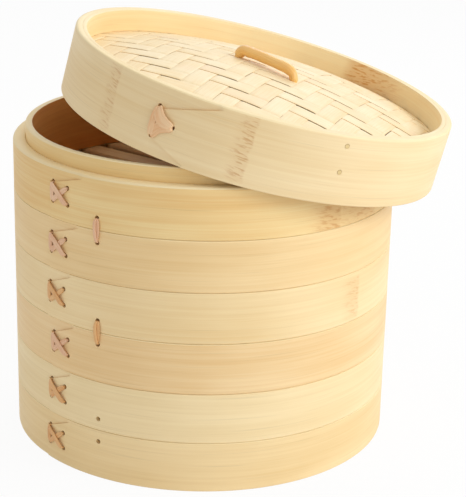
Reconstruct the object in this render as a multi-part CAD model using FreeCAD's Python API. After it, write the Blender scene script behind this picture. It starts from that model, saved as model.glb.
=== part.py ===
"""Three-tier bamboo steamer basket, with its lid leaning on the top tier.

Millimetres, +Z up. The origin is the centre of the bottom tier's underside. The front faces -Y,
and angles are measured about Z from +X, so -90 is the front and -134 the front left.
A lid piece is drawn in the lid's own frame, lower edge at z = 0, and placed by lid_placement().
"""
import FreeCAD, Part
import math
import os

Vector = FreeCAD.Vector
UP = Vector(0, 0, 1)

# ------------------------------------------------------------------ hoops of a tier
outer_r = 100.0          # outside of every band and of the lid
edge_round = 0.6         # rounding of a band's outer edges
tier_names = ("bottom", "middle", "top")
band_h = 26.25           # a tier is two bands high
band_wall = 6.6          # two turns of split bamboo
recess_relief = 0.8      # shaved off the bore at a tier's foot, where the next rim enters
rim_h = 7.5              # rim above a tier's ledge
rim_wall = 3.6
rim_headroom = 1.0       # play above a rim in that recess
hoop_fit = 0.05          # radial clearance of an inner hoop in its band

# ------------------------------------------------------------------ floor of a tier
floor_hoop_wall = 5.3
floor_hoop_h = 15.8
slat_w = 12.0
slat_gap = 6.0
slat_t = 2.6
slat_end_gap = 0.3       # radial play at a slat's end
bar_w = 12.0
bar_t = 4.0
bar_spread = 64.0        # between the centres of the two cross bars
bar_fit = 0.1            # play of a bar in its slot
floor_turn = {"bottom": 24.0, "middle": -12.0, "top": -38.0}

# ------------------------------------------------------------------ lap, laces and ties
lace_angles = {"bottom": (-136.1, -135.1), "middle": (-133.6, -135.0), "top": (-134.0, -133.0)}
lace_w = 11.0            # between hole centres, along the band
lace_h = 9.5             # between hole centres, up the band
lace_mid = 13.8          # height of the lace's centre on its band
hole_r = 1.1
# length of the slanting cut at the strip's end, on a tier's lower and upper band
lap_runs = {"bottom": (19.0, 19.0), "middle": (19.0, 20.0), "top": (24.0, 30.0)}
lap_step = 0.5           # depth of that cut
lap_tip = 2.0            # end of the strip beyond the lace holes
lap_fade = 30.0          # degrees over which the step fades out
cane_w = 2.8
cane_t = 0.7
cane_lift = 0.1          # gap between the cane and the band
leg_r = 0.9
leg_depth = 4.5          # how far a lace's ends reach into their holes
tie_angle = -119.3
tie_half = 6.2           # from the seam between the bands to each tie hole
tied_tiers = ("middle", "top")

# ------------------------------------------------------------------ lid
lid_h = 34.7
lid_wall = 3.5
lid_recess_extra = 2.0   # the closed lid's inner hoop clears the rim by this
lower_hoop_wall = 3.5
upper_hoop_wall = 2.2
weave_edge_h = 21.3      # middle of the weave at the lid's wall
weave_rise = 13.2        # crown above that edge
weave_pitch = 10.7
weave_gap = 0.6
weave_t = 0.75
weave_turn = -20.0
warp_phase = -0.136      # offsets of the lattice from the lid's axis, in pitches
weft_phase = -0.554
over_under_gap = 0.1
lining_t = 1.0
layer_gap = 0.15
circle_sides = 120       # sides of the outline that trims the strips

lid_lap_angle = -118.0
lid_tip = (-4.5, 9.5, 22.5)        # strip's end: place along the wall, lower and upper corner
lid_upper_run = 40.0     # from the strip's end to where its upper cut meets the lid's edge
lid_lower_run = 24.0
lid_stitch = ((-2.3, 24.3), (6.9, 16.9), (-3.3, 9.6))    # apex, right and lower left holes
stitch_w = 3.4
stitch_depth = 3.2       # how far its ends reach into the lid's wall
peg_r = 1.1
peg_fit = 0.05
peg_angles = (-66.5, 53.5, 173.5)
upper_peg_h = 29.5
lower_peg_h = 16.5

handle_turn = -36.0
handle_span = 36.0       # between the centres of the feet
handle_crest = 4.9       # centreline above the weave's crown
handle_bend = 4.0        # radius of the two bends
handle_core_r = 2.2
handle_wrap_t = 0.7
handle_fit = 0.05
foot_play = 0.3          # around a foot in the weave and the lining
handle_pin_r = 0.8
handle_pin_l = 12.0
handle_pin_gap = 0.3     # between the lining and a pin
handle_tail = 1.5        # cane beyond the pin

# where the lid leans
lid_shift = (22.8, -2.0)
lid_lean = 13.58         # right side down
lid_pitch = 1.09         # front down
seat_gap = 0.3

# ------------------------------------------------------------------ sizes that follow
band_inner_r = outer_r - band_wall
recess_r = band_inner_r + recess_relief
hoop_r = band_inner_r - hoop_fit
rim_inner_r = hoop_r - rim_wall
tier_h = 2 * band_h
recess_depth = rim_h + rim_headroom
slat_z = recess_depth + floor_hoop_h
floor_z = slat_z + slat_t
slat_r = band_inner_r - slat_end_gap
rim_top = tier_h + rim_h

lid_bore_r = outer_r - lid_wall
lid_hoop_r = lid_bore_r - hoop_fit
lid_recess = rim_h + lid_recess_extra
weave_offset = (weave_t + over_under_gap) / 2
weave_half = weave_offset + weave_t / 2
weave_r = lid_bore_r - slat_end_gap
dome_curve = weave_rise / lid_bore_r ** 2


# ------------------------------------------------------------------ helpers
def cylinder(radius, z0, z1):
    return Part.makeCylinder(radius, z1 - z0, Vector(0, 0, z0))


def ring(r_in, r_out, z0, z1):
    return cylinder(r_out, z0, z1).cut(cylinder(r_in, z0 - 1, z1 + 1))


def outward(angle):
    a = math.radians(angle)
    return Vector(math.cos(a), math.sin(a), 0)


def along(angle):
    return UP.cross(outward(angle))


def on_wall(angle, radius, spot):
    """Point at a distance along the wall and a height, on the plane that touches it."""
    return outward(angle) * radius + along(angle) * spot[0] + UP * spot[1]


def polygon(points):
    return Part.Face(Part.makePolygon(points + points[:1]))


def wall_prism(angle, outline, r0, r1):
    """Outline drawn on a wall, extruded outwards from one radius to another."""
    face = polygon([on_wall(angle, r0, spot) for spot in outline])
    return face.extrude(outward(angle) * (r1 - r0))


def wall_hole(angle, spot, radius, r0, r1):
    return Part.makeCylinder(radius, r1 - r0, on_wall(angle, r0, spot), outward(angle))


def rounded(hoop, radius, size):
    """Hoop with its two outer edges rounded."""
    round_edges = [e for e in hoop.Edges if isinstance(e.Curve, Part.Circle)]
    return hoop.makeFillet(size, [e for e in round_edges if abs(e.Curve.Radius - radius) < 0.01])


def revolved(profile):
    """Ring from a closed (radius, z) profile."""
    face = polygon([Vector(r, 0, z) for r, z in profile])
    return face.revolve(Vector(0, 0, 0), UP, 360)


def save(name, solids, placement=None):
    shape = solids[0] if len(solids) == 1 else Part.makeCompound(solids)
    if placement:
        shape = shape.copy()
        shape.Placement = placement.multiply(shape.Placement)
    assert all(s.isValid() for s in shape.Solids), name
    shape.exportStep("parts/" + name + ".step")
    print(name, len(shape.Solids), round(shape.Volume))


# ------------------------------------------------------------------ bands
def lap_relief(angle, outline, z0, z1):
    """Thin skin that is missing beyond the end of a hoop's outer turn. It fades out to the left."""
    left = -outer_r * math.sin(math.radians(lap_fade))
    points = outline + [(left, z0 - 1), (left, z1 + 1)]
    shift = lap_step / (1 - math.cos(math.radians(lap_fade)))
    fading = cylinder(outer_r - shift, z0 - 2, z1 + 2)
    fading.translate(outward(angle - lap_fade) * shift)
    under_skin = cylinder(outer_r - lap_step, z0 - 2, z1 + 2)
    return wall_prism(angle, points, outer_r / 2, outer_r + 2).cut([fading, under_skin])


def lace_spots(z0):
    left, right = -lace_w / 2, lace_w / 2
    low, high = z0 + lace_mid - lace_h / 2, z0 + lace_mid + lace_h / 2
    return {"top_left": (left, high), "top_right": (right, high - 1),
            "low_right": (right, low), "low_left": (left, low)}


def band(z0, lace_angle, run, tie_side, recess=0.0):
    """One band: a hoop with its lap, four lace holes and one tie hole."""
    hoop = rounded(ring(band_inner_r, outer_r, z0, z0 + band_h), outer_r, edge_round)
    if recess:
        hoop = hoop.cut(cylinder(recess_r, z0 - 1, z0 + recess))
    spots = lace_spots(z0)
    left, high = spots["top_left"]
    slope = (z0 + band_h - high) / run
    outline = [(left + run + 1 / slope, z0 + band_h + 1), (left, high),
               (left - lap_tip, high), (left - lap_tip, z0 - 1)]
    cuts = [lap_relief(lace_angle, outline, z0, z0 + band_h)]
    for spot in spots.values():
        cuts.append(wall_hole(lace_angle, spot, hole_r, band_inner_r - 5, outer_r + 2))
    tie_z = z0 + (band_h - tie_half if tie_side == "top" else tie_half)
    cuts.append(wall_hole(tie_angle, (0, tie_z), hole_r, band_inner_r - 5, outer_r + 2))
    return hoop.cut(cuts)


# ------------------------------------------------------------------ cane laces
def strand(angle, start, end, width, layer):
    """Flat cane laid on the wall between two holes."""
    run = Vector(end[0] - start[0], end[1] - start[1], 0)
    ahead = run.normalize() * (width / 2)
    side = Vector(-ahead.y, ahead.x, 0)
    a, b = Vector(start[0], start[1], 0), Vector(end[0], end[1], 0)
    corners = [a - ahead + side, a - ahead - side, b + ahead - side, b + ahead + side]
    r0 = outer_r + cane_lift + layer * cane_t
    return wall_prism(angle, [(c.x, c.y) for c in corners], r0, r0 + cane_t)


def leg(angle, spot, layers, depth=leg_depth):
    return wall_hole(angle, spot, leg_r, outer_r - depth, outer_r + cane_lift + layers * cane_t)


def cross_lace(angle, z0):
    """Crossed cane with an upright strand over the strip's end."""
    s = lace_spots(z0)
    pieces = [strand(angle, s["top_left"], s["low_left"], cane_w, 0),
              strand(angle, s["low_left"], s["top_right"], cane_w, 0),
              strand(angle, s["top_left"], s["low_right"], cane_w, 1),
              leg(angle, s["top_left"], 2), leg(angle, s["low_right"], 2),
              leg(angle, s["low_left"], 1), leg(angle, s["top_right"], 1)]
    return pieces[0].fuse(pieces[1:]).removeSplitter()


def band_tie(z_seam):
    """Cane loop that ties a tier's two bands together."""
    top, low = (0, z_seam + tie_half), (0, z_seam - tie_half)
    slim, full = cane_w * 0.35, cane_w * 0.65
    outline = [(slim, top[1] + leg_r), (full, z_seam), (slim, low[1] - leg_r),
               (-slim, low[1] - leg_r), (-full, z_seam), (-slim, top[1] + leg_r)]
    r0 = outer_r + cane_lift
    loop = wall_prism(tie_angle, outline, r0, r0 + cane_t)
    return loop.fuse([leg(tie_angle, top, 1), leg(tie_angle, low, 1)]).removeSplitter()


# ------------------------------------------------------------------ tier
def rim_hoop(z0):
    """Tall inner hoop. It holds the slats down and stands above the ledge as the rim."""
    return ring(rim_inner_r, hoop_r, z0 + floor_z, z0 + rim_top)


def floor_parts(z0, turn):
    """Hoop under the slats, the slats, and the two bars across beneath them."""
    trim = cylinder(slat_r, z0, z0 + tier_h)
    pitch = slat_w + slat_gap
    count = int((2 * slat_r - slat_gap) / pitch)
    slats = []
    for k in range(count):
        y = (k - (count - 1) / 2) * pitch - slat_w / 2
        slat = Part.makeBox(2 * outer_r, slat_w, slat_t, Vector(-outer_r, y, z0 + slat_z))
        slats.append(slat.common(trim))
    bars, slots = [], []
    for side in (-1, 1):
        x = side * bar_spread / 2 - bar_w / 2
        z = z0 + slat_z - bar_t
        bars.append(Part.makeBox(bar_w, 2 * outer_r, bar_t, Vector(x, -outer_r, z)).common(trim))
        slots.append(Part.makeBox(bar_w + 2 * bar_fit, 2 * outer_r, bar_t + 1,
                                  Vector(x - bar_fit, -outer_r, z - bar_fit)))
    hoop = ring(hoop_r - floor_hoop_wall, hoop_r, z0 + recess_depth, z0 + slat_z).cut(slots)
    for shape in slats + bars + [hoop]:
        shape.rotate(Vector(0, 0, 0), UP, turn)
    return hoop, slats, bars


def build_tier(index, name):
    z0 = index * tier_h
    lower_angle, upper_angle = lace_angles[name]
    lower_run, upper_run = lap_runs[name]
    save(name + "_lower_band", [band(z0, lower_angle, lower_run, "top", recess_depth)])
    save(name + "_upper_band", [band(z0 + band_h, upper_angle, upper_run, "bottom")])
    save(name + "_rim_hoop", [rim_hoop(z0)])
    hoop, slats, bars = floor_parts(z0, floor_turn[name])
    save(name + "_floor_hoop", [hoop])
    save(name + "_floor_slats", slats)
    save(name + "_cross_bars", bars)
    save(name + "_lower_lace", [cross_lace(lower_angle, z0)])
    save(name + "_upper_lace", [cross_lace(upper_angle, z0 + band_h)])
    if name in tied_tiers:
        save(name + "_band_tie", [band_tie(z0 + band_h)])


# ------------------------------------------------------------------ lid, in its own frame
def dome(x, y=0.0):
    """Middle of the weave above the lid's lower edge."""
    return weave_edge_h + weave_rise - dome_curve * (x * x + y * y)


def lid_outer_hoop():
    hoop = rounded(ring(lid_bore_r, outer_r, 0, lid_h), outer_r, edge_round)
    tip, low, high = lid_tip
    upper_end = tip + lid_upper_run * (lid_h + 1 - high) / (lid_h - high)
    lower_end = tip + lid_lower_run * (low + 1) / low
    outline = [(upper_end, lid_h + 1), (tip, high), (tip, low), (lower_end, -1)]
    cuts = [lap_relief(lid_lap_angle, outline, 0, lid_h)]
    cuts += [wall_hole(lid_lap_angle, spot, hole_r, lid_bore_r - 5, outer_r + 2) for spot in lid_stitch]
    return hoop.cut(cuts + peg_shapes(peg_fit, outer_r + 2))


def peg_shapes(extra, r_end):
    """Bamboo pegs that pin the two inner hoops, or the holes for them."""
    r0 = lid_hoop_r - min(lower_hoop_wall, upper_hoop_wall)
    return [wall_hole(angle, (0, h), peg_r + extra, r0, r_end)
            for angle in peg_angles for h in (upper_peg_h, lower_peg_h)]


def lid_hoops():
    """Hoops that clamp the edge of the weave between them."""
    upper_in = lid_hoop_r - upper_hoop_wall
    upper = revolved([(upper_in, dome(upper_in) + weave_half + layer_gap),
                      (lid_hoop_r, dome(lid_hoop_r) + weave_half + layer_gap),
                      (lid_hoop_r, lid_h), (upper_in, lid_h)])
    under = weave_half + layer_gap + lining_t + layer_gap
    lower_in = lid_hoop_r - lower_hoop_wall
    lower = revolved([(lower_in, lid_recess), (lid_hoop_r, lid_recess),
                      (lid_hoop_r, dome(lid_hoop_r) - under), (lower_in, dome(lower_in) - under)])
    holes = peg_shapes(peg_fit, outer_r)
    return upper.cut(holes), lower.cut(holes)


def lid_lining():
    """Domed sheet under the weave."""
    top = dome(0) - weave_half - layer_gap
    ball_r = (weave_rise ** 2 + lid_bore_r ** 2) / (2 * weave_rise)
    shells = [Part.makeSphere(ball_r - drop, Vector(0, 0, top - ball_r)) for drop in (0, lining_t)]
    sheet = shells[0].cut(shells[1]).common(cylinder(weave_r, 0, lid_h + weave_rise))
    return sheet.cut([foot_hole(side) for side in (-1, 1)])


def strip_path(across, is_over, phase):
    """Stations (place, middle height) along a strip that runs from rim to rim."""
    cells = int(lid_bore_r / weave_pitch) + 2
    path = []
    for i in range(-cells, cells + 1):
        lift = weave_offset if is_over(i) else -weave_offset
        for a in ((i + phase) * weave_pitch + weave_gap / 2, (i + 1 + phase) * weave_pitch - weave_gap / 2):
            path.append((a, dome(a, across) + lift))
    return path


def woven_strip(centre, is_over, phase, heading):
    """One strip with flat faces: its long profile, extruded across at the dome's slope."""
    half = (weave_pitch - weave_gap) / 2
    path = strip_path(centre - half, is_over, phase)
    ahead, side = outward(heading), along(heading)
    rise = dome(0, centre + half) - dome(0, centre - half)
    base = side * (centre - half)
    upper = [ahead * a + base + UP * (z + weave_t / 2) for a, z in path]
    lower = [ahead * a + base + UP * (z - weave_t / 2) for a, z in path]
    strip = polygon(upper + lower[::-1]).extrude(side * (2 * half) + UP * rise)
    corners = [outward(360 * k / circle_sides) * weave_r for k in range(circle_sides)]
    return strip.common(polygon(corners).extrude(UP * (lid_h + 2 * weave_rise)))


def weave(kind):
    """Strips of one direction. In a 2/2 twill a strip passes over two and under two."""
    reach = int(lid_bore_r / weave_pitch) + 2
    own, other = (weft_phase, warp_phase) if kind == "weft" else (warp_phase, weft_phase)
    strips = []
    for j in range(-reach, reach + 1):
        centre = (j + 0.5 + own) * weave_pitch
        if abs(centre) + weave_pitch / 4 > weave_r:
            continue
        if kind == "weft":
            strip = woven_strip(centre, lambda i: (i + j) % 4 in (0, 3), other, weave_turn)
        else:
            strip = woven_strip(-centre, lambda i: (i + j) % 4 in (1, 2), other, weave_turn + 90)
        feet = [foot_hole(side) for side in (-1, 1)]
        near = [f for f in feet if strip.BoundBox.intersect(f.BoundBox)]
        strips += strip.cut(near).Solids if near else strip.Solids
    return strips


def lid_stitch_cane():
    """Cane triangle over the end of the lid's strip."""
    apex, right, low = lid_stitch
    angle = lid_lap_angle
    pieces = [strand(angle, apex, low, stitch_w, 0), strand(angle, low, right, stitch_w, 0),
              strand(angle, apex, right, stitch_w, 1),
              leg(angle, apex, 2, stitch_depth), leg(angle, right, 2, stitch_depth),
              leg(angle, low, 1, stitch_depth)]
    return pieces[0].fuse(pieces[1:]).removeSplitter()


# ------------------------------------------------------------------ handle
weave_top = dome(0) + weave_half
pin_z = dome(handle_span / 2) - weave_half - layer_gap - lining_t - handle_pin_gap - handle_pin_r


def handle_point(x, z):
    """Point in the handle's upright plane, x from its middle."""
    return outward(handle_turn) * x + UP * z


def handle_path(low):
    """Centreline of a staple with rounded corners, its ends at height low."""
    half, crest = handle_span / 2, weave_top + handle_crest
    side = crest - handle_bend
    inner = half - handle_bend
    bend = handle_bend * math.sin(math.radians(45))
    edges = []
    for s in (-1, 1):
        knee = handle_point(s * (inner + bend), side + bend)
        foot = Part.LineSegment(handle_point(s * half, low), handle_point(s * half, side))
        arc = Part.Arc(handle_point(s * half, side), knee, handle_point(s * inner, crest))
        edges += [foot.toShape(), arc.toShape()]
    edges.append(Part.LineSegment(handle_point(-inner, crest), handle_point(inner, crest)).toShape())
    return Part.Wire(Part.__sortEdges__(edges))


def handle_tube(radius, low):
    start = handle_point(-handle_span / 2, low)
    section = Part.Wire(Part.Circle(start, UP, radius).toShape())
    return handle_path(low).makePipeShell([section], True, False)


def foot_hole(side):
    """Upright hole for one of the handle's feet."""
    centre = handle_point(side * handle_span / 2, 0)
    sides = 12
    radius = (handle_core_r + foot_play) / math.cos(math.pi / sides)
    corners = [centre + outward(360 * k / sides) * radius for k in range(sides)]
    return polygon(corners).extrude(UP * (lid_h + 2 * weave_rise))


def handle_parts():
    """Bent cane, its wrapping, and the pin through each foot under the lining."""
    core = handle_tube(handle_core_r, pin_z - handle_pin_r - handle_tail)
    wrap_low = weave_top + handle_fit
    wrap = handle_tube(handle_core_r + handle_wrap_t, wrap_low)
    wrap = wrap.cut(handle_tube(handle_core_r + handle_fit, wrap_low - 1))
    pins, holes = [], []
    for side in (-1, 1):
        across = along(handle_turn)
        start = handle_point(side * handle_span / 2, pin_z) - across * (handle_pin_l / 2)
        pins.append(Part.makeCylinder(handle_pin_r, handle_pin_l, start, across))
        holes.append(Part.makeCylinder(handle_pin_r + handle_fit, handle_pin_l, start, across))
    return core.cut(holes), wrap, pins


# ------------------------------------------------------------------ how the lid leans
def lid_axes():
    """The lid's own x, y and z directions: turned right side down, then front down."""
    a, b = math.radians(lid_lean), math.radians(lid_pitch)
    x_dir = Vector(math.cos(a), 0, -math.sin(a))
    z_dir = Vector(math.sin(a) * math.cos(b), -math.sin(b), math.cos(a) * math.cos(b))
    return x_dir, z_dir.cross(x_dir), z_dir


def lid_underside(reach):
    """Height of the lid's underside in its own frame, at a distance from its axis."""
    if reach > lid_bore_r - seat_gap:
        return 0.0
    if reach > lid_hoop_r - lower_hoop_wall - seat_gap:
        return lid_recess
    return dome(reach) - weave_half - layer_gap - lining_t - layer_gap


def lid_height():
    """Height of the lid's origin at which its underside is seat_gap above the rim and the ledge."""
    x_dir, y_dir, z_dir = lid_axes()
    top = (len(tier_names) - 1) * tier_h
    rim_middle, ledge_middle = (rim_inner_r + hoop_r) / 2, (band_inner_r + outer_r) / 2
    circles = [(r, top + rim_top) for r in (rim_inner_r, rim_middle, hoop_r)]
    circles += [(r, top + tier_h) for r in (band_inner_r, ledge_middle, outer_r - edge_round)]
    points = [outward(a / 2) * r + UP * z for r, z in circles for a in range(720)]
    height = top + rim_top
    for _ in range(30):
        origin = Vector(lid_shift[0], lid_shift[1], height)
        rises = []
        for point in points:
            offset = point - origin
            reach = math.hypot(offset.dot(x_dir), offset.dot(y_dir))
            if reach < outer_r + seat_gap:
                rises.append(offset.dot(z_dir) - lid_underside(reach))
        height += max(rises) + seat_gap
    return height


def lid_placement():
    x, y, z = lid_axes()
    matrix = FreeCAD.Matrix(x.x, y.x, z.x, lid_shift[0], x.y, y.y, z.y, lid_shift[1],
                            x.z, y.z, z.z, lid_height(), 0, 0, 0, 1)
    return FreeCAD.Placement(matrix)


def build_lid():
    place = lid_placement()
    print("lid origin", [round(c, 3) for c in place.Base])
    upper, lower = lid_hoops()
    core, wrap, pins = handle_parts()
    save("lid_outer_hoop", [lid_outer_hoop()], place)
    save("lid_upper_hoop", [upper], place)
    save("lid_lower_hoop", [lower], place)
    save("lid_lining", [lid_lining()], place)
    save("lid_weave_warp", weave("warp"), place)
    save("lid_weave_weft", weave("weft"), place)
    save("lid_pegs", peg_shapes(0.0, outer_r), place)
    save("lid_stitch", [lid_stitch_cane()], place)
    save("lid_handle_core", [core], place)
    save("lid_handle_wrap", [wrap], place)
    save("lid_handle_pins", pins, place)


os.makedirs("parts", exist_ok=True)
for tier_index, tier_name in enumerate(tier_names):
    build_tier(tier_index, tier_name)
build_lid()
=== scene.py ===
"""Looks of the three-tier bamboo steamer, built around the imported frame.

Metres, +Z up. Lengths written here are in millimetres and turned into metres by MM.
Hoops, laces and slats are drawn in the row frame, and lid pieces in the lid's own frame.
"""

import math
import random

import bpy
from mathutils import Matrix, Vector, noise


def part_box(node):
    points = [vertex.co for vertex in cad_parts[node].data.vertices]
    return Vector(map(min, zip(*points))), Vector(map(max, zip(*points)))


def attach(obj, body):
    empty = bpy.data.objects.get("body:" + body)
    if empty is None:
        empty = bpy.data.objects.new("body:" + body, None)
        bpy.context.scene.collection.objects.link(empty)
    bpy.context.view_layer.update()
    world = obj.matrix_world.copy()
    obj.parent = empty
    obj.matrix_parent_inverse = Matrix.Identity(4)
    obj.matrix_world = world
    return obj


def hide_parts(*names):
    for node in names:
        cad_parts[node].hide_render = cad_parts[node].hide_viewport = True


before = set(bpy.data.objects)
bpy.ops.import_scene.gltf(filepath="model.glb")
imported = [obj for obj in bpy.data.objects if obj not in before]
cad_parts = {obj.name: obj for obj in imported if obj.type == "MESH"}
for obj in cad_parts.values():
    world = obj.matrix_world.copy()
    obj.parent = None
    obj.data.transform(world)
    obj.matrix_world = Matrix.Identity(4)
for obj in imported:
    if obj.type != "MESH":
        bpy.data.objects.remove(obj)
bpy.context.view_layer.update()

MM = 0.001
UP = Vector((0, 0, 1))

# ------------------------------------------------------------------ sizes, in mm
outer_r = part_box("bottom_lower_band")[1].x / MM
band_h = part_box("bottom_lower_band")[1].z / MM
tier_h = 2 * band_h
tier_names = ("bottom", "middle", "top")
band_wall = 6.6
recess_relief = 0.8
rim_h = 7.5
rim_wall = 3.6
hoop_fit = 0.05
recess_depth = rim_h + 1.0
edge_round = 0.6
floor_hoop_h = 15.8
slat_w, slat_gap, slat_t = 12.0, 6.0, 2.6
bar_w, bar_t, bar_spread = 12.0, 4.0, 64.0
floor_turn = {"bottom": 24.0, "middle": -12.0, "top": -38.0}
band_inner_r = outer_r - band_wall
recess_r = band_inner_r + recess_relief
hoop_r = band_inner_r - hoop_fit
rim_inner_r = hoop_r - rim_wall
slat_z = recess_depth + floor_hoop_h
floor_z = slat_z + slat_t
slat_r = band_inner_r - 0.3

lace_angles = {"bottom": (-136.1, -135.1), "middle": (-133.6, -135.0), "top": (-134.0, -133.0)}
lace_w, lace_h, lace_mid = 11.0, 9.5, 13.8
hole_r = 1.3
lap_runs = {"bottom": (19.0, 19.0), "middle": (19.0, 20.0), "top": (24.0, 30.0)}
lap_step, lap_tip, lap_fade = 0.75, 2.0, 30.0
tie_angle, tie_half = -119.3, 6.2

lid_h = 34.7
lid_wall = 3.5
lid_bore_r = outer_r - lid_wall
lid_hoop_r = lid_bore_r - hoop_fit
weave_edge_h, weave_rise = 21.3, 13.2
weave_pitch = 10.7
weave_t = 0.5
weave_lift = 0.27
weave_turn = -20.0
warp_phase, weft_phase = -0.136, -0.554
weave_half = weave_lift + weave_t / 2
weave_r = lid_bore_r - 0.3
dome_curve = weave_rise / lid_bore_r ** 2
lid_lap_angle = -118.0
lid_tip = (-4.5, 9.5, 22.5)
lid_upper_run, lid_lower_run = 40.0, 24.0
lid_stitch = ((-2.3, 24.3), (6.9, 16.9), (-3.3, 9.6))
peg_angles, peg_heights, peg_r = (-66.5, 53.5, 173.5), (29.5, 16.5), 1.1
handle_turn, handle_span, handle_crest, handle_r = -36.0, 36.0, 4.9, 2.9

lid_lean, lid_pitch = math.radians(13.58), math.radians(1.09)


# ------------------------------------------------------------------ small helpers
def outward(degrees):
    a = math.radians(degrees)
    return Vector((math.cos(a), math.sin(a), 0))


def ripple(seed, *place):
    """Smooth noise between -1 and 1."""
    x, y, z = (list(place) + [0, 0])[:3]
    return noise.noise(Vector((x + seed * 17.3, y - seed * 5.1, z + seed * 2.7)))


def smooth(t):
    t = min(1.0, max(0.0, t))
    return t * t * (3 - 2 * t)


def lid_matrix():
    """The lid's own frame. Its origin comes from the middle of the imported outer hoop."""
    a, b = lid_lean, lid_pitch
    x = Vector((math.cos(a), 0, -math.sin(a)))
    z = Vector((math.sin(a) * math.cos(b), -math.sin(b), math.cos(a) * math.cos(b)))
    y = z.cross(x)
    low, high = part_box("lid_outer_hoop")
    origin = (low + high) / 2 - z * (lid_h * MM / 2)
    return Matrix(((x.x, y.x, z.x, origin.x), (x.y, y.y, z.y, origin.y),
                   (x.z, y.z, z.z, origin.z), (0, 0, 0, 1)))


LID = lid_matrix()
REST = Matrix.Identity(4)


class Builder:
    """Collects vertices in mm with faces and a grain coordinate, then makes one object."""

    def __init__(self):
        self.points, self.faces, self.grain, self.slots = [], [], [], []

    def loops(self, loops, grain=None, close=True, caps=False, slot=0):
        """Skins a list of closed loops of points. close joins the last loop to the first."""
        start, n = len(self.points), len(loops[0])
        for k, loop in enumerate(loops):
            self.points += [tuple(p) for p in loop]
            self.grain += grain[k] if grain else [(0, 0, 0)] * n
        count = len(loops)
        for k in range(count if close else count - 1):
            a, b = start + k * n, start + ((k + 1) % count) * n
            for m in range(n):
                m2 = (m + 1) % n
                self.faces.append((a + m, a + m2, b + m2, b + m))
                self.slots.append(slot(k, m) if callable(slot) else slot)
        if caps:
            last = start + (count - 1) * n
            self.faces.append(tuple(start + m for m in range(n)))
            self.faces.append(tuple(last + m for m in reversed(range(n))))
            self.slots += [slot if not callable(slot) else 0] * 2

    def make(self, name, materials, matrix=REST, sharp=35, merge=0.0):
        mesh = bpy.data.meshes.new(name)
        mesh.from_pydata([(x * MM, y * MM, z * MM) for x, y, z in self.points], [], self.faces)
        layer = mesh.attributes.new("grain", "FLOAT_VECTOR", "POINT")
        layer.data.foreach_set("vector", [c for g in self.grain for c in g])
        for material in materials:
            mesh.materials.append(material)
        mesh.polygons.foreach_set("material_index", self.slots)
        tidy(mesh, merge * MM)
        obj = bpy.data.objects.new(name, mesh)
        bpy.context.scene.collection.objects.link(obj)
        obj.matrix_world = matrix
        shade(obj, sharp)
        return obj


def tidy(mesh, merge):
    """Merges doubled points and turns every face outwards."""
    import bmesh
    work = bmesh.new()
    work.from_mesh(mesh)
    if merge:
        bmesh.ops.remove_doubles(work, verts=work.verts, dist=merge)
    bmesh.ops.recalc_face_normals(work, faces=work.faces)
    work.to_mesh(mesh)
    work.free()


def shade(obj, sharp):
    mesh = obj.data
    mesh.polygons.foreach_set("use_smooth", [True] * len(mesh.polygons))
    mesh.set_sharp_from_angle(angle=math.radians(sharp))


def drill(obj, holes, sharp=35):
    """Cuts round holes (angle, along, height, radius, from radius, to radius) out of a hoop."""
    cutter = Builder()
    for angle, s, z, radius, r0, r1 in holes:
        a = angle + math.degrees(s / outer_r)
        out, side = outward(a), UP.cross(outward(a))
        loops = []
        for r in (r0, r1):
            loops.append([out * r + side * radius * math.cos(t) + UP * (z + radius * math.sin(t))
                          for t in (2 * math.pi * k / 14 for k in range(14))])
        cutter.loops(loops, close=False, caps=True)
    tool = cutter.make("cutter", [], obj.matrix_world)
    change = obj.modifiers.new("holes", "BOOLEAN")
    change.object, change.solver = tool, "EXACT"
    bpy.context.view_layer.update()
    evaluated = obj.evaluated_get(bpy.context.evaluated_depsgraph_get())
    mesh = bpy.data.meshes.new_from_object(evaluated)
    obj.modifiers.clear()
    obj.data = mesh
    bpy.data.objects.remove(tool)
    shade(obj, sharp)


def finish_piece(obj, body, slot_name, *nodes):
    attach(obj, body)
    if nodes:
        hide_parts(*nodes)
    return obj


# ------------------------------------------------------------------ node helpers
def rgb(r, g, b):
    """Display colour, 0 to 255, as the linear colour that nodes take."""
    return tuple(((c / 255 + 0.055) / 1.055) ** 2.4 if c > 10 else c / 255 / 12.92 for c in (r, g, b)) + (1,)


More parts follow.
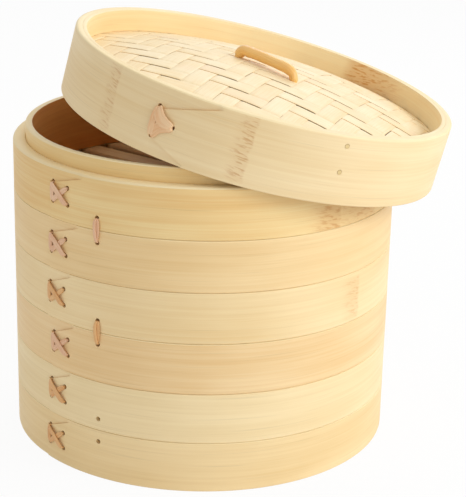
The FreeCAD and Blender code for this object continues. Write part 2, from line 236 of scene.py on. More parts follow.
class Mat:
    """A material's node tree, with short names for the nodes used here."""

    def __init__(self, name):
        self.material = bpy.data.materials.new(name)
        self.material.use_nodes = True
        self.tree = self.material.node_tree
        self.shader = self.tree.nodes["Principled BSDF"]

    def node(self, kind, inputs=None, **settings):
        made = self.tree.nodes.new(kind)
        for key, value in settings.items():
            setattr(made, key, value)
        for key, value in (inputs or {}).items():
            if isinstance(value, bpy.types.NodeSocket):
                self.tree.links.new(value, made.inputs[key])
            else:
                made.inputs[key].default_value = value
        return made

    def math(self, operation, a, b=0.0, clamp=False):
        return self.node("ShaderNodeMath", {0: a, 1: b}, operation=operation, use_clamp=clamp).outputs[0]

    def mapped(self, source, scale, shift=(0, 0, 0), turn=0.0):
        """Coordinates turned about Z, then scaled and shifted."""
        turned = self.node("ShaderNodeMapping", {"Vector": source, "Rotation": (0, 0, math.radians(-turn))})
        return self.node("ShaderNodeMapping", {"Vector": turned.outputs[0], "Scale": scale, "Location": shift}).outputs[0]

    def noise(self, vector, detail=3.0, rough=0.55, scale=1.0):
        inputs = {"Vector": vector, "Detail": detail, "Roughness": rough, "Scale": scale}
        return self.node("ShaderNodeTexNoise", inputs).outputs["Fac"]

    def ramp(self, value, *stops):
        made = self.node("ShaderNodeValToRGB", {"Fac": value})
        bar = made.color_ramp
        while len(bar.elements) < len(stops):
            bar.elements.new(0.5)
        for element, (place, colour) in zip(bar.elements, stops):
            element.position, element.color = place, colour
        return made.outputs["Color"]

    def range(self, value, low, high, to_low=0.0, to_high=1.0):
        inputs = {"Value": value, "From Min": low, "From Max": high, "To Min": to_low, "To Max": to_high}
        return self.node("ShaderNodeMapRange", inputs, interpolation_type="SMOOTHSTEP").outputs[0]

    def mix(self, share, a, b, blend="MIX"):
        made = self.node("ShaderNodeMix", data_type="RGBA", blend_type=blend)
        for key, value in ((0, share), (6, a), (7, b)):
            if isinstance(value, bpy.types.NodeSocket):
                self.tree.links.new(value, made.inputs[key])
            else:
                made.inputs[key].default_value = value
        return made.outputs[2]

    def finish(self, colour, roughness, bump=None, strength=0.2, distance=0.2, specular=0.35, coat=0.0):
        inputs = self.shader.inputs
        self.tree.links.new(colour, inputs["Base Color"])
        if isinstance(roughness, bpy.types.NodeSocket):
            self.tree.links.new(roughness, inputs["Roughness"])
        else:
            inputs["Roughness"].default_value = roughness
        inputs["Specular IOR Level"].default_value = specular
        if coat:
            inputs["Coat Weight"].default_value = coat
            inputs["Coat Roughness"].default_value = 0.25
        if bump is not None:
            made = self.node("ShaderNodeBump", {"Height": bump, "Strength": strength, "Distance": distance * MM})
            self.tree.links.new(made.outputs[0], inputs["Normal"])
        return self.material


def in_mm(m):
    """Object coordinates in mm."""
    source = m.node("ShaderNodeTexCoord").outputs["Object"]
    return m.node("ShaderNodeVectorMath", {0: source, "Scale": 1 / MM}, operation="SCALE").outputs[0]


def node_marks(m, place, marks, seed, haze_share):
    """Share of a bamboo node's dashes at each spot. A mark is (angle, low, high, half width, strength)."""
    total = None
    for k, (angle, low, high, half, strength) in enumerate(marks):
        out, side = outward(angle), UP.cross(outward(angle))
        u = m.node("ShaderNodeVectorMath", {0: place, 1: side}, operation="DOT_PRODUCT").outputs["Value"]
        front = m.node("ShaderNodeVectorMath", {0: place, 1: out}, operation="DOT_PRODUCT").outputs["Value"]
        height = m.node("ShaderNodeSeparateXYZ", {0: place}).outputs[2]
        wander = m.math("MULTIPLY", m.math("SUBTRACT", m.noise(m.mapped(place, (0, 0, 0.11), (seed, k, 0)), 1.0), 0.5), 5.0)
        off = m.math("ADD", u, wander)
        inside = m.math("MULTIPLY", m.range(off, half, half * 0.6), m.range(off, -1.8 * half, 0.2 * half))
        tall = m.math("MULTIPLY", m.range(height, low - 1.5, low + 1.5), m.range(height, high + 1.5, high - 1.5))
        rise = m.math("ADD", m.math("MULTIPLY", height, 0.85), m.math("MULTIPLY", u, 0.12))
        slant = m.node("ShaderNodeCombineXYZ", {0: m.math("MULTIPLY", u, 0.16), 1: rise, 2: seed * 3.1 + k * 7.7})
        dash = m.range(m.noise(slant.outputs[0], 2.0, 0.6), 0.50, 0.64)
        haze = m.math("MULTIPLY", inside, haze_share)
        share = m.math("ADD", m.math("MULTIPLY", dash, inside), haze)
        share = m.math("MULTIPLY", m.math("MULTIPLY", share, tall), m.math("GREATER_THAN", front, 0.0))
        share = m.math("MULTIPLY", share, strength, clamp=True)
        total = share if total is None else m.math("MAXIMUM", total, share)
    return total


def wood(name, pale, tan, seed, turn=None, marks=(), mark_colour=(196, 128, 62), haze=0.25,
         fibre=1.0, rough=0.5):
    """Split bamboo. The fibres run round the hoop, or along the direction turn on a flat piece."""
    m = Mat(name)
    place = in_mm(m)
    if turn is None:
        long_way = ((0.008, 0.008, 0.55), (0.02, 0.02, 2.4), (0.012, 0.012, 0.05))
        turn = 0.0
    else:
        long_way = ((0.008, 0.5, 0.5), (0.02, 1.9, 1.9), (0.012, 0.05, 0.05))
    shift = (seed * 3.7, seed * 1.9, seed * 11.3)
    streak = m.noise(m.mapped(place, long_way[0], shift, turn), 4.0, 0.6)
    fine = m.noise(m.mapped(place, long_way[1], shift, turn), 3.0, 0.65)
    broad = m.noise(m.mapped(place, long_way[2], shift, turn), 2.0, 0.5)
    share = m.math("ADD", m.math("MULTIPLY", m.range(streak, 0.3, 0.72), 0.38),
                   m.math("MULTIPLY", m.range(broad, 0.3, 0.7), 0.45))
    share = m.math("ADD", share, m.math("MULTIPLY", m.math("SUBTRACT", fine, 0.5), 0.42 * fibre), clamp=True)
    colour = m.mix(share, rgb(*pale), rgb(*tan))
    thread = m.range(m.noise(m.mapped(place, long_way[1], (seed * 9.1, 3.3, seed), turn), 1.0, 0.4), 0.66, 0.74)
    colour = m.mix(m.math("MULTIPLY", thread, 0.16 * fibre), colour, rgb(*[c * 0.78 for c in tan]))
    if marks:
        colour = m.mix(node_marks(m, place, marks, seed, haze), colour, rgb(*mark_colour))
    gloss = m.range(fine, 0.2, 0.8, rough - 0.06, rough + 0.10)
    return m.finish(colour, gloss, fine, 0.25, 0.12)


def cane(name, pale, tan, seed, rough=0.42, coat=0.0, edge_shade=0.55):
    """Split cane or strip with a grain coordinate: x along it, y across it in mm, z its number. Its edge strength sets
    how much painted shade darkens it towards its edges.
    """
    m = Mat(name)
    place = m.node("ShaderNodeAttribute", attribute_name="grain").outputs["Vector"]
    shift = (seed, seed * 2.3, 0)
    fibre = m.noise(m.mapped(place, (0.09, 1.9, 7.3), shift), 3.0, 0.6)
    broad = m.noise(m.mapped(place, (0.05, 0.12, 3.1), shift), 2.0, 0.5)
    share = m.math("ADD", m.math("MULTIPLY", m.range(fibre, 0.3, 0.7), 0.6),
                   m.math("MULTIPLY", m.range(broad, 0.35, 0.65), 0.4), clamp=True)
    colour = m.mix(share, rgb(*pale), rgb(*tan))
    # Painted shade: the colour darkens towards the strand's edges, as if its rounded sides turned from the light.
    if edge_shade:
        across = m.node("ShaderNodeSeparateXYZ", {0: place}).outputs[1]
        rim = m.range(m.math("ABSOLUTE", across), 1.1, 1.8)
        colour = m.mix(m.math("MULTIPLY", rim, edge_shade), colour, rgb(*[c * 0.66 for c in tan]))
    return m.finish(colour, rough, fibre, 0.5, 0.3, coat=coat)


# ------------------------------------------------------------------ hoops
# The crease slot is painted shade: a darker thin row under the overhanging edge of the raised strip.
OUTSIDE, INSIDE, EDGE, RISER, CREASE_SHADE = range(5)      # material slots of a hoop
RAISED = 5                                          # faces of the raised strip, shown as OUTSIDE


def relief(offset, fade=lap_fade, step=lap_step):
    """Depth of the skin missing beyond a strip's end, by degrees from the lace's angle."""
    a = math.radians(offset + fade)
    if a <= 0 or a > math.radians(fade + 60):
        return 0.0
    return step * min(1.0, (1 - math.cos(a)) / (1 - math.cos(math.radians(fade))))


def hoop_angles(dense=None):
    """Angles round a hoop in degrees, closer together over the span dense, with a pair at its start."""
    angles = [k * 1.2 for k in range(300)]
    if dense:
        start, end = dense
        angles = [a for a in angles if not start - 0.4 < (a + 180 - (start + end) / 2) % 360 - 180 + (start + end) / 2 < end + 0.4]
        angles += [start - 0.02, start + 0.02] + [start + 0.3 * k for k in range(1, int((end - start) / 0.3))] + [end]
    return sorted(angles, key=lambda a: a % 360)


def hoop_section(inner, z0, z1, bands, seed, angle, soft, soft_top, ease):
    """Closed section of a hoop as (r, z) and the part that each face belongs to."""
    r_top, r_low = bands[-1][2], bands[0][2]
    round_x, round_y = math.cos(angle) * 2.2, math.sin(angle) * 2.2
    top = z1 - 0.06 - 0.06 * ripple(seed, round_x, round_y)
    low = z0 + 0.05 + 0.05 * ripple(seed + 3, round_x, round_y)
    points = [(r, z, INSIDE) for r, z in inner]
    points += [(inner[-1][0], top - ease, INSIDE), (inner[-1][0] + ease * 0.3, top - ease * 0.3, EDGE),
               (inner[-1][0] + ease, top, EDGE)]
    for k in range(5):
        t = math.pi / 2 * k / 4
        points.append((r_top - soft_top + soft_top * math.sin(t), top - soft_top + soft_top * math.cos(t),
                       EDGE if k < 3 else OUTSIDE))
    for k, (a, b, r) in enumerate(reversed(bands)):
        a, b = max(a, low + soft), min(b, top - soft_top)
        steps = 4
        # Where the strip below the low cut is set back, its first thin row takes the crease slot, painted shade under
        # the overhang.
        crease = k == 2 and abs(r - bands[1][2]) > 0.1
        for m in range(0 if k else 1, steps + (0 if k == len(bands) - 1 else 1)):
            part = CREASE_SHADE if crease and not m else RISER if m == steps else RAISED if k == 1 else OUTSIDE
            points.append((r, b + (a - b) * m / steps, part))
            if crease and not m:
                points.append((r, b - 0.4, OUTSIDE))
        if k == 2 and not crease:
            points.append((r, a + 0.01, OUTSIDE))
    for k in range(4):
        t = math.pi / 2 * k / 3
        points.append((r_low - soft + soft * math.cos(t), low + soft - soft * math.sin(t), OUTSIDE))
    points += [(inner[0][0] + ease, low, OUTSIDE), (inner[0][0], low + ease, INSIDE)]
    return points


def hoop(name, inner, z0, z1, seed, materials, lap_angle=None, edges=None, span=None, matrix=REST,
         outer=outer_r, soft=edge_round, soft_top=None, ease=0.5, wobble=0.10):
    """Bent strip hoop. edges(offset in degrees) gives the raised part's low and high edge beyond the lap."""
    loops, parts, tips = [], [], set()
    dense = (lap_angle + span[0], lap_angle + span[1]) if span else None
    for k, degrees in enumerate(hoop_angles(dense)):
        a = math.radians(degrees)
        skin = outer - wobble * (1 + ripple(seed + 7, math.cos(a) * 1.7, math.sin(a) * 1.7))
        bands = [(z0, z1, skin)]
        if edges:
            offset = (degrees - lap_angle + 180) % 360 - 180
            low, high, gone = edges(offset)
            drop = relief(offset) if offset < span[1] else 0.0
            under = over = drop
            if not gone:
                under *= smooth((low - z0 - soft - 0.6) / 1.2)
                over *= smooth((z1 - (soft_top or soft) - 0.7 - high) / 1.2)
            bands = [(z0, low, skin - under), (low, high, skin - (drop if gone else 0)), (high, z1, skin - over)]
            if low <= z0 + 1.2:
                bands[0] = (z0, low, bands[1][2])
            if abs(offset - span[0]) < 0.03 and gone:
                tips.add(k)
        points = hoop_section(inner, z0, z1, bands, seed, a, soft, soft_top or soft, ease)
        loops.append([(r * math.cos(a), r * math.sin(a), z) for r, z, _ in points])
        parts = [part for _, _, part in points]
    made = Builder()

    def slot(k, m):
        if parts[m] == RAISED:
            return RISER if k in tips else OUTSIDE
        return parts[m]

    made.loops(loops, slot=slot)
    return made.make(name, materials, matrix, 32, merge=0.004)


def lace_spots(z0):
    left, right = -lace_w / 2, lace_w / 2
    low, high = z0 + lace_mid - lace_h / 2, z0 + lace_mid + lace_h / 2
    return {"top_left": (left, high), "top_right": (right, high - 1), "low_right": (right, low), "low_left": (left, low)}


def band_edges(z0, run, crown):
    left = -lace_w / 2
    high = z0 + lace_mid + lace_h / 2
    top = z0 + band_h - (2.2 if crown else 1.3)
    slope = (z0 + band_h - high) / run

    def edges(offset):
        x = math.radians(offset) * outer_r
        if x < left - lap_tip:
            away = smooth((-x - 40) / 60)
            return z0 + 1.0, high + (top - high) * away, True
        cut = high + max(0.0, x - left) * slope
        return z0 + 1.0, min(top, cut), False
    return edges


def band(name, z0, lace_angle, run, tie_z, body, seed, materials, recess, crown):
    inner = [(band_inner_r, z0 + 1), (band_inner_r, z0 + band_h / 2)]
    if recess:
        depth = z0 + recess_depth
        inner = [(recess_r, z0 + 1), (recess_r, depth), (band_inner_r, depth + 0.01), (band_inner_r, z0 + band_h / 2)]
    degrees = [math.degrees(x / outer_r) for x in (-lace_w / 2 - lap_tip, -lace_w / 2 + run)]
    obj = hoop(name + "_bamboo", inner, z0, z0 + band_h, seed, materials, lace_angle,
               band_edges(z0, run, crown), degrees, soft_top=1.5 if crown else None)
    holes = [(lace_angle, s, z, hole_r, band_inner_r - 3, outer_r + 2) for s, z in lace_spots(z0).values()]
    holes.append((tie_angle, 0, tie_z, hole_r, band_inner_r - 3, outer_r + 2))
    drill(obj, holes, 32)
    return finish_piece(obj, body, "band_bamboo", name)


# ------------------------------------------------------------------ cane over a wall
def curve_points(keys, steps):
    """Catmull-Rom points through tuples of equal length."""
    ext = [keys[0]] + list(keys) + [keys[-1]]
    found = []
    for k in range(1, len(ext) - 2):
        p0, p1, p2, p3 = ext[k - 1:k + 3]
        for m in range(steps):
            t = m / steps
            found.append(tuple(0.5 * (2 * b + (c - a) * t + (2 * a - 5 * b + 4 * c - d) * t * t
                                      + (3 * b - a - 3 * c + d) * t ** 3)
                               for a, b, c, d in zip(p0, p1, p2, p3)))
    found.append(tuple(keys[-1]))
    return found


def wall_strand(made, angle, start, end, width, layer, thick=0.75, bow=0.0, number=0.0, deep=3.6):
    """Flat cane from one hole to another over the wall. bow bends it sideways at its middle."""
    (x0, z0), (x1, z1) = start, end
    run = math.hypot(x1 - x0, z1 - z0)
    dx, dz = (x1 - x0) / run, (z1 - z0) / run
    lift = 0.15 + thick / 2 + layer * thick * 0.9
    keys = [(0.75, -deep, 0.36), (0.6, -1.2, 0.42), (0.55, lift * 0.4, 0.62), (1.9, lift, 0.92)]
    mid = [(run * 0.35, lift + 0.12, 1.0), (run * 0.65, lift + 0.12, 1.0)]
    keys += mid + [(run - t, h, w) for t, h, w in reversed(keys)]
    stations = curve_points(keys, 5)
    loops, grain = [], []
    for k, (t, h, w) in enumerate(stations):
        t0, h0, _ = stations[max(0, k - 1)]
        t1, h1, _ = stations[min(len(stations) - 1, k + 1)]
        size = math.hypot(t1 - t0, h1 - h0) or 1.0
        ahead, rise = (t1 - t0) / size, (h1 - h0) / size
        side_shift = bow * math.sin(math.pi * min(1, max(0, t / run)))
        x = x0 + dx * t - dz * side_shift
        z = z0 + dz * t + dx * side_shift
        a = math.degrees(x / outer_r) + angle
        out, tangent = outward(a), UP.cross(outward(a))
        centre = out * (outer_r + h) + UP * z
        forward = (tangent * dx + UP * dz) * ahead + out * rise
        across = (UP * dx - tangent * dz)
        normal = forward.cross(across)
        half_w = width / 2 * w * (1 + 0.05 * ripple(number, k * 0.35))
        half_t = thick / 2
        loop, marks = [], []
        for q in range(20):
            c, s = math.cos(2 * math.pi * q / 20), math.sin(2 * math.pi * q / 20)
            u = math.copysign(abs(c) ** 0.75, c)
            v = math.copysign(abs(s) ** 0.75, s)
            crease = 0.16 * math.exp(-((u - 0.25 * math.sin(number * 9)) / 0.16) ** 2)
            loop.append(centre + across * (half_w * u) + normal * (half_t * v - (crease if v > 0 else 0)))
            # The across mark is scaled so each strand's edge falls in the cane's painted edge shade.
            marks.append((t, u * 1.35, number))
        loops.append(loop)
        grain.append(marks)
    made.loops(loops, grain, close=False, caps=True)


def lace(name, angle, z0, body, material, seed):
    """Crossed cane: an upright strand at the left, one strand under the cross and a broad one over it."""
    made, s = Builder(), lace_spots(z0)
    rnd = random.Random(seed)
    wide = 3.1 + rnd.uniform(-0.2, 0.3)
    wall_strand(made, angle, s["top_left"], s["low_left"], 2.7, 0, bow=0.4, number=seed + 0.1)
    wall_strand(made, angle, s["low_left"], s["top_right"], 2.7, 0, bow=rnd.uniform(-0.4, 0.4), number=seed + 0.2)
    wall_strand(made, angle, s["top_left"], s["low_right"], wide, 1, bow=rnd.uniform(-0.3, 0.5), number=seed + 0.3)
    obj = made.make(name + "_cane", [material], REST, 40)
    return finish_piece(obj, body, "cane", name)


def band_tie(name, z_seam, body, material, seed):
    """Two turns of cane that cross as they hold the bands together."""
    made = Builder()
    top, low = z_seam + tie_half, z_seam - tie_half
    wall_strand(made, tie_angle, (0.45, top), (-0.45, low), 2.0, 0, bow=0.7, number=seed + 0.1)
    wall_strand(made, tie_angle, (-0.45, top), (0.45, low), 1.7, 1, bow=-0.6, number=seed + 0.2)
    obj = made.make(name + "_cane", [material], REST, 40)
    return finish_piece(obj, body, "cane", name)


# ------------------------------------------------------------------ strips laid side by side
SECTION = [(-1, -0.5), (-0.96, -1), (-0.55, -1), (0, -1), (0.55, -1), (0.96, -1), (1, -0.5),
           (1, 0.4), (0.94, 0.9), (0.6, 1), (0.2, 1), (-0.2, 1), (-0.6, 1), (-0.94, 0.9), (-1, 0.4)]


SIDES = (0, 5, 6, 14)      # faces of SECTION that stand upright


def add_strip(made, heading, centre, half, thick, limit, height, step, number, wander=0.0):
    """One long strip trimmed by a circle. height(a, s) is its middle, a along and s across."""
    ahead, side = outward(heading), UP.cross(outward(heading))
    reach = math.sqrt(max(0.0, limit ** 2 - max(0.0, abs(centre) - half) ** 2))
    count = max(2, int(2 * reach / step))
    loops, grain = [], []
    for k in range(count + 1):
        a = -reach + 2 * reach * k / count
        drift = wander * ripple(number, a * 0.03)
        half_here = half * (1 + 0.02 * ripple(number + 5, a * 0.05))
        loop, marks = [], []
        for u, v in SECTION:
            s = max(-limit, min(limit, centre + drift + u * half_here))
            far = math.sqrt(limit ** 2 - s * s)
            at = max(-far, min(far, a))
            z = height(at, s) + v * thick / 2
            p = ahead * at + side * s
            loop.append((p.x, p.y, z))
            marks.append((at, u * half_here, number))
        loops.append(loop)
        grain.append(marks)
    made.loops(loops, grain, close=False, caps=True, slot=lambda k, m: 1 if m in SIDES else 0)


def floor_pieces(name, z0, turn, body, material, bar_material):
    """Slats and cross bars of one floor, each a little different."""
    pitch = slat_w + slat_gap
    count = int((2 * slat_r - slat_gap) / pitch)
    rnd = random.Random(int(z0) + 5)
    slats = Builder()
    for k in range(count):
        y = (k - (count - 1) / 2) * pitch
        bowed = rnd.uniform(0, 0.1)
        add_strip(slats, turn, y, slat_w / 2 - rnd.uniform(0, 0.3), slat_t - 0.1, slat_r,
                  lambda a, s, b=bowed: z0 + slat_z + slat_t / 2 - b * abs(s) / 60, 6.0, k + z0)
    obj = slats.make(name + "_floor_slats_bamboo", [material, material], REST, 50, merge=0.01)
    finish_piece(obj, body, "floor_bamboo", name + "_floor_slats")
    bars = Builder()
    for side in (-1, 1):
        add_strip(bars, turn + 90, side * bar_spread / 2, bar_w / 2 - 0.1, bar_t - 0.1, slat_r,
                  lambda a, s: z0 + slat_z - bar_t / 2, 6.0, 40 + side)
    obj = bars.make(name + "_cross_bars_bamboo", [bar_material, bar_material], REST, 50, merge=0.01)
    finish_piece(obj, body, "floor_bamboo", name + "_cross_bars")


# ------------------------------------------------------------------ weave
def dome(x, y=0.0):
    return weave_edge_h + weave_rise - dome_curve * (x * x + y * y)


def lift_along(a, is_over, phase):
    """Height of a strip above the dome where it passes over and under the crossing strips."""
    cell = a / weave_pitch - phase
    i = math.floor(cell)
    near = round(cell)
    here = 1 if is_over(i) else -1
    before, after = (1 if is_over(near - 1) else -1), (1 if is_over(near) else -1)
    if before == after:
        return weave_lift * here
    t = (cell - near) * weave_pitch / 1.3
    return weave_lift * (before + (after - before) * smooth((t + 1) / 2))


def weave(kind, material, seed):
    made = Builder()
    reach = int(lid_bore_r / weave_pitch) + 2
    own, other = (weft_phase, warp_phase) if kind == "weft" else (warp_phase, weft_phase)
    heading = weave_turn if kind == "weft" else weave_turn + 90
    sign = 1 if kind == "weft" else -1
    rnd = random.Random(seed)
    for j in range(-reach, reach + 1):
        centre = (j + 0.5 + own) * weave_pitch
        if abs(centre) - weave_pitch / 2 > weave_r - 1:
            continue
        over = (lambda i, j=j: (i + j) % 4 in (0, 3)) if kind == "weft" else (lambda i, j=j: (i + j) % 4 in (1, 2))
        gap = rnd.uniform(0.85, 1.5) if kind == "weft" else rnd.uniform(0.05, 0.25)
        half = (weave_pitch - gap) / 2

        def height(a, s, over=over, centre=centre, half=half):
            crown = 0.05 * (1 - min(1.0, abs(s - sign * centre) / half) ** 2)
            return dome(a, s) + lift_along(a, over, other) + crown

        add_strip(made, heading, sign * centre, half, weave_t, weave_r, height, weave_pitch / 9,
                  j + seed, wander=0.35)
    obj = made.make("lid_weave_" + kind + "_strips", [material, strip_side_shaded], LID, 45, merge=0.01)
    return finish_piece(obj, "lid", "weave_bamboo", "lid_weave_" + kind)


# ------------------------------------------------------------------ handle
def handle(material):
    half = handle_span / 2
    crown = dome(0) + weave_half
    low = dome(half) - 6.5
    top = crown + handle_crest - 0.3
    keys = [(-half, low), (-half, crown - 2.0), (-half + 0.1, crown + 1.2), (-half + 1.7, top - 0.9),
            (-half + 6, top - 0.25), (-4, top), (half - 12, top), (half - 6, top - 0.2),
            (half - 2.2, top - 1.5), (half - 0.3, crown + 0.8), (half, crown - 1.5), (half, low)]
    path = curve_points(keys, 7)
    made, loops, grain, length = Builder(), [], [], 0.0
    side = UP.cross(outward(handle_turn))
    for k, (x, z) in enumerate(path):
        x0, z0 = path[max(0, k - 1)]
        x1, z1 = path[min(len(path) - 1, k + 1)]
        length += math.hypot(x - x0, z - z0)
        size = math.hypot(x1 - x0, z1 - z0)
        normal = outward(handle_turn) * (-(z1 - z0) / size) + UP * ((x1 - x0) / size)
        ring = 0.2 * math.exp(-((x + half - 6.0) / 0.8) ** 2) + 0.15 * math.exp(-((x - half + 9.0) / 2.0) ** 2)
        radius = handle_r + 0.1 + ring + 0.12 * ripple(4, length * 0.15)
        radius -= 0.7 * smooth((x - half + 5) / 5)
        if z < crown + 0.8:
            radius = min(radius, 2.1 + 0.3 * max(0.0, z - crown + 0.5))
        centre = outward(handle_turn) * x + UP * z
        loop, marks = [], []
        for q in range(20):
            c, s = math.cos(2 * math.pi * q / 20), math.sin(2 * math.pi * q / 20)
            loop.append(centre + side * (radius * c) + normal * (radius * 0.94 * s))
            marks.append((length, q * 0.9 if q <= 10 else (20 - q) * 0.9, 1))
        loops.append(loop)
        grain.append(marks)
    made.loops(loops, grain, close=False, caps=True)
    obj = made.make("lid_handle_cane", [material], LID, 40)
    return finish_piece(obj, "lid", "handle_cane", "lid_handle_core", "lid_handle_wrap")


# ------------------------------------------------------------------ materials
BAND_TONES = {"bottom_lower_band": ((250, 224, 174), (236, 204, 146), ()),
              "bottom_upper_band": ((252, 230, 184), (239, 212, 159), ()),
              "middle_lower_band": ((250, 221, 172), (235, 196, 136), ()),
              "middle_upper_band": ((251, 227, 179), (237, 204, 146), ((-40, 80, 102, 6, 0.28),)),
              "top_lower_band": ((249, 220, 168), (235, 198, 138), ()),
              "top_upper_band": ((249, 222, 163), (234, 189, 120), ((-51, 131, 156, 9, 0.5), (-38, 131, 156, 16, 0.4)))}

edge_wood = wood("hoop_edge_look", (250, 232, 188), (238, 212, 160), 17, fibre=0.6)
riser_wood = wood("lap_edge_look", (208, 160, 96), (186, 136, 74), 18)
# Painted shade for the thin row under the lap's overhanging edge.
crease_shade_wood = wood("lap_shade_look", (196, 146, 88), (166, 118, 64), 19)
rim_wood = wood("rim_bamboo_look", (249, 222, 163), (234, 196, 128), 21)
# Inner faces in deep orange: partly the inner bamboo's own tone, partly painted shade for the dim warm inside of a
# tier; in full light they look too strong.
rim_inside_shade = wood("rim_inside_look", (246, 172, 88), (222, 138, 56), 22, rough=0.6)
floor_wood = {name: wood(name + "_slat_look", (252, 214, 156), (232, 176, 110), 30 + k, turn=floor_turn[name])
              for k, name in enumerate(tier_names)}
bar_wood = {name: wood(name + "_bar_look", (236, 206, 152), (206, 166, 108), 40 + k, turn=floor_turn[name] + 90)
            for k, name in enumerate(tier_names)}
hoop_wood = wood("floor_hoop_look", (236, 206, 152), (206, 166, 108), 45)
lid_wood = wood("lid_wall_look", (249, 226, 181), (236, 205, 150), 51,
                marks=((-136.5, 2, 34, 4.0, 0.38), (-94, 2, 34, 4.2, 0.52)), mark_colour=(204, 148, 90))
lid_inner_wood = wood("lid_inner_look", (255, 236, 190), (246, 214, 156), 52,
                      marks=((48, 18, 38, 20, 0.5),), mark_colour=(216, 156, 84), haze=0.9)
peg_wood = wood("peg_look", (236, 212, 158), (214, 184, 124), 60)
lining_wood = wood("lining_look", (214, 178, 120), (176, 132, 78), 61, turn=weave_turn)
# The strips' upright sides are a little darker than their tops: partly the cut cane's own colour, partly painted shade
# so the gaps between strips read dark.
strip_side_shaded = wood("strip_side_look", (226, 190, 132), (204, 162, 102), 62)
lace_cane = [cane("lace_pink_look", (246, 208, 172), (226, 172, 132), 71),
             cane("lace_tan_look", (240, 194, 136), (220, 158, 96), 72)]
stitch_cane = cane("stitch_look", (250, 216, 172), (236, 182, 130), 73, edge_shade=0.35)
handle_look = cane("handle_look", (252, 210, 132), (238, 180, 98), 74, rough=0.28, coat=0.3, edge_shade=0.0)


def strip_look(name, seed, phase, over_centre):
    """Weave strips: pale, each with its own slight tint, fine fibres along it, and painted shade where they pass under.
    """
    m = Mat(name)
    place = m.node("ShaderNodeAttribute", attribute_name="grain").outputs["Vector"]
    number = m.node("ShaderNodeSeparateXYZ", {0: place}).outputs[2]
    own = m.node("ShaderNodeTexWhiteNoise", {"W": number}, noise_dimensions="1D").outputs["Value"]
    fibre = m.noise(m.mapped(place, (0.05, 1.5, 5.3), (seed, 0, 0)), 4.0, 0.62)
    broad = m.noise(m.mapped(place, (0.05, 0.05, 3.7), (seed, 1, 0)), 2.0, 0.5)
    share = m.math("ADD", m.math("MULTIPLY", m.range(fibre, 0.3, 0.72), 0.4),
                   m.math("MULTIPLY", m.range(broad, 0.3, 0.7), 0.35))
    share = m.math("ADD", share, m.math("MULTIPLY", own, 0.3), clamp=True)
    colour = m.mix(share, rgb(251, 235, 199), rgb(239, 210, 156))
    pink = m.range(m.noise(m.mapped(place, (0.03, 0.02, 9.1), (seed, 7, 0)), 1.0), 0.55, 0.72)
    colour = m.mix(m.math("MULTIPLY", pink, 0.35), colour, rgb(244, 208, 168))
    along = m.node("ShaderNodeSeparateXYZ", {0: place}).outputs[0]
    cell = m.math("SUBTRACT", m.math("DIVIDE", along, weave_pitch), phase)
    row = m.math("SUBTRACT", number, seed * 100 - 99)
    turn = m.math("FLOORED_MODULO", m.math("ADD", cell, row), 4.0)
    away = m.math("SUBTRACT", m.math("FLOORED_MODULO", m.math("ADD", turn, 6.0 - over_centre), 4.0), 2.0)
    away = m.math("ABSOLUTE", away)
    # Painted shade: the strip turns dark brown where it dives under the crossing strips, so the gaps between them read
    # dark.
    under = m.range(away, 1.10, 1.30)
    colour = m.mix(under, colour, rgb(84, 56, 28))
    return m.finish(colour, 0.5, fibre, 0.3, 0.15)


# ------------------------------------------------------------------ the tiers
for index, tier in enumerate(tier_names):
    z_base = index * tier_h
    body_name = tier + "_tier"
    for half_index, half_name in enumerate(("lower", "upper")):
        node = tier + "_" + half_name + "_band"
        z_low = z_base + half_index * band_h
        pale, tan, marks = BAND_TONES[node]
        look = wood(node + "_look", pale, tan, 3 * index + half_index + 1, marks=marks,
                    mark_colour=(214, 156, 92), haze=0.6)
        tie_z = z_low + (band_h - tie_half if half_name == "lower" else tie_half)
        angle = lace_angles[tier][half_index]
        band(node, z_low, angle, lap_runs[tier][half_index], tie_z, body_name, 10 * index + half_index, [look, look, edge_wood, riser_wood, crease_shade_wood],
             half_name == "lower", node == "top_upper_band")
        cane_look = lace_cane[0 if node in ("top_upper_band", "top_lower_band", "middle_lower_band") else 1]
        lace(tier + "_" + half_name + "_lace", angle, z_low, body_name, cane_look, 5 * index + half_index + 1)
    if tier != "bottom":
        band_tie(tier + "_band_tie", z_base + band_h, body_name, lace_cane[0 if tier == "top" else 1], 50 + index)
    rim_low, rim_top = z_base + floor_z, z_base + tier_h + rim_h
    rim = hoop(tier + "_rim_bamboo", [(rim_inner_r, rim_low + 1), (rim_inner_r, (rim_low + rim_top) / 2)],
               rim_low, rim_top, 70 + index, [rim_wood, rim_inside_shade, edge_wood, rim_wood], outer=hoop_r,
               soft=0.8, wobble=0.05)
    finish_piece(rim, body_name, "rim_bamboo", tier + "_rim_hoop")
    floor_pieces(tier, z_base, floor_turn[tier], body_name, floor_wood[tier], bar_wood[tier])
    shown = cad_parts[tier + "_floor_hoop"]
    shown.data.materials.clear()
    shown.data.materials.append(hoop_wood)


# ------------------------------------------------------------------ the lid
def lid_edges(offset):
    """The raised strip narrows to a blunt tip, cut above and below, and the tip's level fades out beyond it."""
    tip, low, high = lid_tip
    floor, roof = 1.3, lid_h - 2.0
    x = math.radians(offset) * outer_r
    if x < tip:
        away = smooth((-x - 40) / 80)
        return low + (floor - low) * away, high + (roof - high) * away, True
    low_now = low * (1 - (x - tip) / lid_lower_run)
    high_now = high + (lid_h - high) * (x - tip) / lid_upper_run
    return max(floor, low_now), min(roof, high_now), False


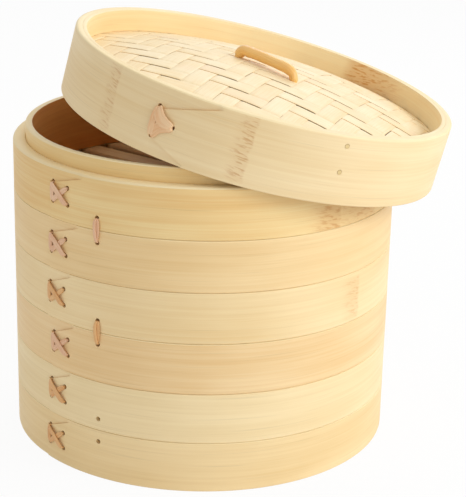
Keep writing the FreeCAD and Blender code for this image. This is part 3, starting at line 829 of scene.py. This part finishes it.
lid_span = [math.degrees(x / outer_r) for x in (lid_tip[0], lid_tip[0] + lid_upper_run)]
outer = hoop("lid_wall_bamboo", [(lid_bore_r, 1), (lid_bore_r, lid_h / 2)], 0, lid_h, 81,
             [lid_wood, lid_wood, edge_wood, riser_wood, crease_shade_wood], lid_lap_angle, lid_edges, lid_span, matrix=LID,
             soft_top=1.2, ease=0.06)
drill(outer, [(lid_lap_angle, s, z, hole_r, lid_bore_r - 3, outer_r + 2) for s, z in lid_stitch]
      + [(a, 0, h, peg_r + 0.18, lid_bore_r - 3, outer_r + 2) for a in peg_angles for h in peg_heights], 32)
finish_piece(outer, "lid", "band_bamboo", "lid_outer_hoop")

upper_in = lid_hoop_r - 2.2
low_edge = dome(upper_in) + 0.2
upper = hoop("lid_upper_hoop_bamboo", [(upper_in, low_edge + 1), (upper_in, lid_h - 3)], low_edge, lid_h, 82,
             [lid_inner_wood, lid_inner_wood, edge_wood, lid_inner_wood], matrix=LID, outer=lid_hoop_r,
             soft=0.06, wobble=0.0)
finish_piece(upper, "lid", "rim_bamboo", "lid_upper_hoop")
lower_in = lid_hoop_r - 3.5
high_edge = dome(lid_hoop_r) - weave_half - 1.3
lower = hoop("lid_lower_hoop_bamboo", [(lower_in, 10.5), (lower_in, high_edge - 3)], 9.5, high_edge, 83,
             [lid_inner_wood, lid_inner_wood, edge_wood, lid_inner_wood], matrix=LID, outer=lid_hoop_r,
             soft=0.35, wobble=0.05)
finish_piece(lower, "lid", "rim_bamboo", "lid_lower_hoop")

weave("weft", strip_look("weft_look", 1.0, warp_phase, 0), 1)
weave("warp", strip_look("warp_look", 2.0, weft_phase, 2), 101)
handle(handle_look)

made = Builder()
apex, right, low_left = lid_stitch
wall_strand(made, lid_lap_angle, apex, low_left, 3.4, 0.3, bow=-0.6, number=91.1, deep=3.0)
wall_strand(made, lid_lap_angle, low_left, right, 5.6, 0, bow=2.0, number=91.2, deep=3.0)
wall_strand(made, lid_lap_angle, apex, right, 6.0, 1, bow=-2.1, number=91.3, deep=3.0)
finish_piece(made.make("lid_stitch_cane", [stitch_cane], LID, 40), "lid", "cane", "lid_stitch")

for node, look in (("lid_pegs", peg_wood), ("lid_lining", lining_wood), ("lid_handle_pins", peg_wood)):
    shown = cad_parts[node]
    shown.data.materials.clear()
    shown.data.materials.append(look)


# ------------------------------------------------------------------ floor, light and camera
def studio():
    mesh = bpy.data.meshes.new("studio_floor")
    size = 6.0
    mesh.from_pydata([(-size, -size, 0), (size, -size, 0), (size, size, 0), (-size, size, 0)], [], [(0, 1, 2, 3)])
    floor = bpy.data.objects.new("studio_floor", mesh)
    bpy.context.scene.collection.objects.link(floor)
    m = Mat("studio_floor_look")
    seen = m.node("ShaderNodeLightPath").outputs
    direct = m.math("MAXIMUM", m.math("MAXIMUM", seen["Is Camera Ray"], seen["Is Glossy Ray"]), seen["Is Transmission Ray"])
    glow = m.node("ShaderNodeEmission", {"Color": (1, 1, 1, 1), "Strength": 1.0})
    m.shader.inputs["Base Color"].default_value = (0.9, 0.9, 0.89, 1)
    m.shader.inputs["Roughness"].default_value = 0.9
    m.shader.inputs["Specular IOR Level"].default_value = 0.1
    both = m.node("ShaderNodeMixShader", {0: m.math("MULTIPLY", direct, 0.92), 1: m.shader.outputs[0], 2: glow.outputs[0]})
    out = m.tree.nodes["Material Output"]
    m.tree.links.new(both.outputs[0], out.inputs["Surface"])
    mesh.materials.append(m.material)

    world = bpy.data.worlds.new("studio")
    bpy.context.scene.world = world
    world.use_nodes = True
    tree = world.node_tree
    back = tree.nodes["Background"]
    path = tree.nodes.new("ShaderNodeLightPath")
    most = tree.nodes.new("ShaderNodeMath")
    most.operation = "MAXIMUM"
    tree.links.new(path.outputs["Is Camera Ray"], most.inputs[0])
    tree.links.new(path.outputs["Is Glossy Ray"], most.inputs[1])
    level = tree.nodes.new("ShaderNodeMapRange")
    level.inputs["To Min"].default_value = 0.66
    level.inputs["To Max"].default_value = 1.0
    tree.links.new(most.outputs[0], level.inputs["Value"])
    tree.links.new(level.outputs[0], back.inputs["Strength"])
    back.inputs["Color"].default_value = (1, 1, 1, 1)


def lamp(name, place, aim, size, power, colour=(1, 1, 1)):
    data = bpy.data.lights.new(name, "AREA")
    data.shape, data.size, data.energy, data.color = "DISK", size, power, colour
    obj = bpy.data.objects.new(name, data)
    bpy.context.scene.collection.objects.link(obj)
    obj.location = place
    obj.rotation_euler = (Vector(aim) - Vector(place)).to_track_quat("-Z", "Y").to_euler()


def camera():
    elevation, roll = math.radians(18.78), math.radians(1.383)
    target, distance = Vector((0.01623, 0, 0.0942)), 0.832
    back = Vector((0, -math.cos(elevation), math.sin(elevation)))
    right = Vector((1, 0, 0))
    up = back.cross(right)
    x = right * math.cos(roll) + up * math.sin(roll)
    y = up * math.cos(roll) - right * math.sin(roll)
    place = target + back * distance
    data = bpy.data.cameras.new("photo_view")
    data.lens, data.sensor_width = 111.9, 36.0
    data.clip_start, data.clip_end = 0.05, 50
    obj = bpy.data.objects.new("photo_view", data)
    bpy.context.scene.collection.objects.link(obj)
    obj.matrix_world = Matrix(((x.x, y.x, back.x, place.x), (x.y, y.y, back.y, place.y),
                               (x.z, y.z, back.z, place.z), (0, 0, 0, 1)))
    bpy.context.scene.camera = obj


studio()
lamp("key_light", (1.15, -0.52, 0.75), (0, 0, 0.1), 0.8, 8.7)
lamp("back_light", (0.3, 0.9, 0.9), (0, 0, 0.15), 0.8, 3.0)
camera()
bpy.context.scene.view_settings.view_transform = "Standard"
